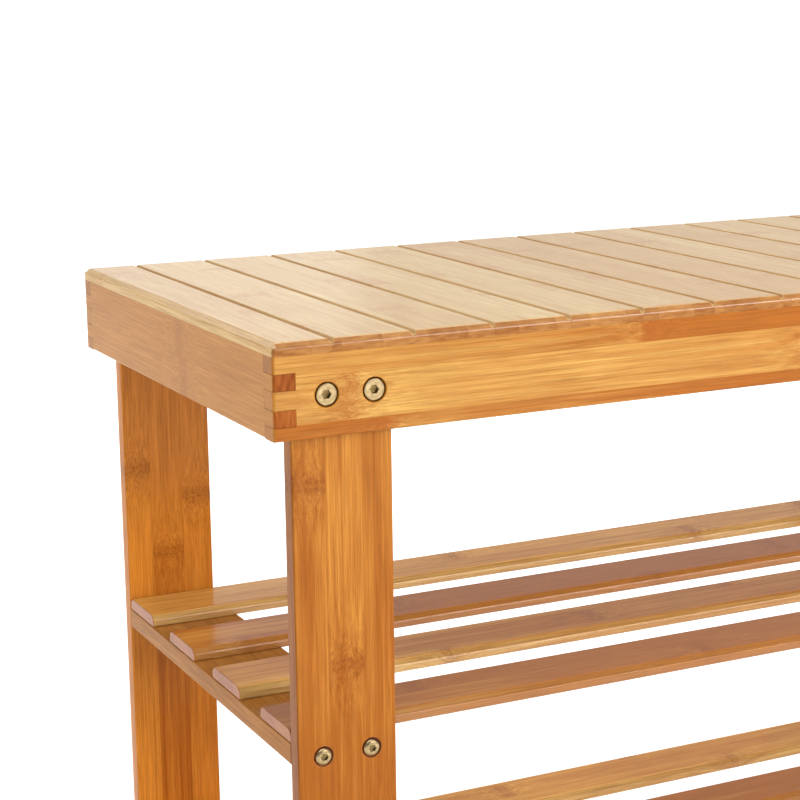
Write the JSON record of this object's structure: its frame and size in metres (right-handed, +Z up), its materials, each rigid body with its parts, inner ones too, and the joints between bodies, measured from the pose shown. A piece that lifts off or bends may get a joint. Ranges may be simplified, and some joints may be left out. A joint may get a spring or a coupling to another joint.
{
  "type": "entryway bench",
  "caption": "Low bamboo shoe bench with a planked seat on a box-jointed frame, board legs and two slatted shelves for shoes.",
  "frame": {"origin": "on the floor under the middle of the bench", "axes": "+X along the length of the bench, -Y towards its front, +Z up"},
  "size_m": [0.68, 0.28, 0.45],
  "materials": {
    "seat_bamboo": "clear satin lacquer, pale laminated bamboo",
    "frame_bamboo": "clear satin lacquer, golden laminated bamboo",
    "leg_bamboo": "clear satin lacquer, laminated bamboo with upright strips",
    "shelf_bamboo": "clear satin lacquer, carbonised laminated bamboo",
    "zinc_steel": "yellow zinc plate"
  },
  "bodies": {
    "root": {"apron_front": "frame_bamboo", "apron_rear": "frame_bamboo", "end_apron_left": "frame_bamboo", "end_apron_right": "frame_bamboo", "seat_plank_01": "seat_bamboo", "seat_plank_02": "seat_bamboo", "seat_plank_03": "seat_bamboo", "seat_plank_04": "seat_bamboo", "seat_plank_05": "seat_bamboo", "seat_plank_06": "seat_bamboo", "seat_plank_07": "seat_bamboo", "seat_plank_08": "seat_bamboo", "seat_plank_09": "seat_bamboo", "seat_plank_10": "seat_bamboo", "seat_plank_11": "seat_bamboo", "seat_plank_12": "seat_bamboo", "seat_plank_13": "seat_bamboo", "seat_plank_14": "seat_bamboo", "seat_plank_15": "seat_bamboo", "leg_front_left": "leg_bamboo", "leg_front_right": "leg_bamboo", "leg_rear_left": "leg_bamboo", "leg_rear_right": "leg_bamboo", "shelf_rail_upper_left": "shelf_bamboo", "shelf_rail_upper_right": "shelf_bamboo", "shelf_slat_upper_1": "shelf_bamboo", "shelf_slat_upper_2": "shelf_bamboo", "shelf_slat_upper_3": "shelf_bamboo", "shelf_slat_upper_4": "shelf_bamboo", "shelf_rail_lower_left": "shelf_bamboo", "shelf_rail_lower_right": "shelf_bamboo", "shelf_slat_lower_1": "shelf_bamboo", "shelf_slat_lower_2": "shelf_bamboo", "shelf_slat_lower_3": "shelf_bamboo", "shelf_slat_lower_4": "shelf_bamboo", "seat_bolt_front_left_outer": "zinc_steel", "seat_bolt_front_left_inner": "zinc_steel", "seat_bolt_front_right_outer": "zinc_steel", "seat_bolt_front_right_inner": "zinc_steel", "seat_bolt_rear_left_outer": "zinc_steel", "seat_bolt_rear_left_inner": "zinc_steel", "seat_bolt_rear_right_outer": "zinc_steel", "seat_bolt_rear_right_inner": "zinc_steel", "shelf_bolt_upper_front_left_outer": "zinc_steel", "shelf_bolt_upper_front_left_inner": "zinc_steel", "shelf_bolt_upper_front_right_outer": "zinc_steel", "shelf_bolt_upper_front_right_inner": "zinc_steel", "shelf_bolt_upper_rear_left_outer": "zinc_steel", "shelf_bolt_upper_rear_left_inner": "zinc_steel", "shelf_bolt_upper_rear_right_outer": "zinc_steel", "shelf_bolt_upper_rear_right_inner": "zinc_steel", "shelf_bolt_lower_front_left_outer": "zinc_steel", "shelf_bolt_lower_front_left_inner": "zinc_steel", "shelf_bolt_lower_front_right_outer": "zinc_steel", "shelf_bolt_lower_front_right_inner": "zinc_steel", "shelf_bolt_lower_rear_left_outer": "zinc_steel", "shelf_bolt_lower_rear_left_inner": "zinc_steel", "shelf_bolt_lower_rear_right_outer": "zinc_steel", "shelf_bolt_lower_rear_right_inner": "zinc_steel"}
  },
  "joints": []
}
